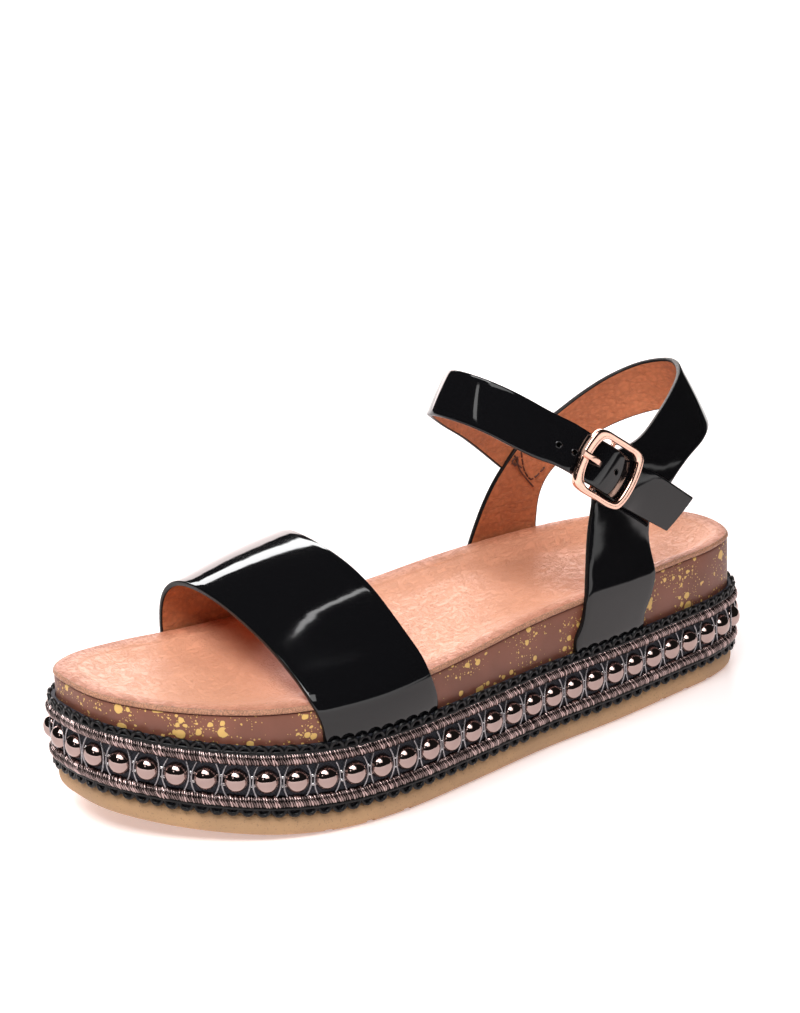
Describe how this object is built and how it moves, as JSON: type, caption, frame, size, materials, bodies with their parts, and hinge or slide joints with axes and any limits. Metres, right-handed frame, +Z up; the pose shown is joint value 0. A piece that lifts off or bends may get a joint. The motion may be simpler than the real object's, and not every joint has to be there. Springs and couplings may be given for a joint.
{
  "type": "platform sandal",
  "caption": "Left platform sandal: wedge sole with a beaded braid round its side, contoured footbed, wide toe strap, heel strap and a buckled ankle strap.",
  "frame": {"origin": "on the ground under the middle of the footbed's length, on the shoe's long axis", "axes": "+X to the outer side of the left foot, +Y to the heel with the toe at -Y, +Z up"},
  "size_m": [0.0953, 0.2562, 0.1263],
  "materials": {
    "outsole_rubber": "matt tan rubber with a fine speckle",
    "platform_foam": "brown painted foam, satin, with ochre paint drops",
    "footbed_leather": "peach tan leather, fine creases, darker towards the rim",
    "trim_beads": "black braid with wound metallic cords and dark polished metal-look beads",
    "patent_leather": "black patent, high gloss, with a tan leather lining",
    "buckle_metal": "polished rose gold plating"
  },
  "bodies": {
    "root": {"outsole": "outsole_rubber", "midsole": "platform_foam", "footbed": "footbed_leather", "trim_band": "trim_beads", "vamp_strap": "patent_leather", "rear_upper": "patent_leather", "buckle_frame": "buckle_metal", "buckle_prong": "buckle_metal"}
  },
  "joints": []
}
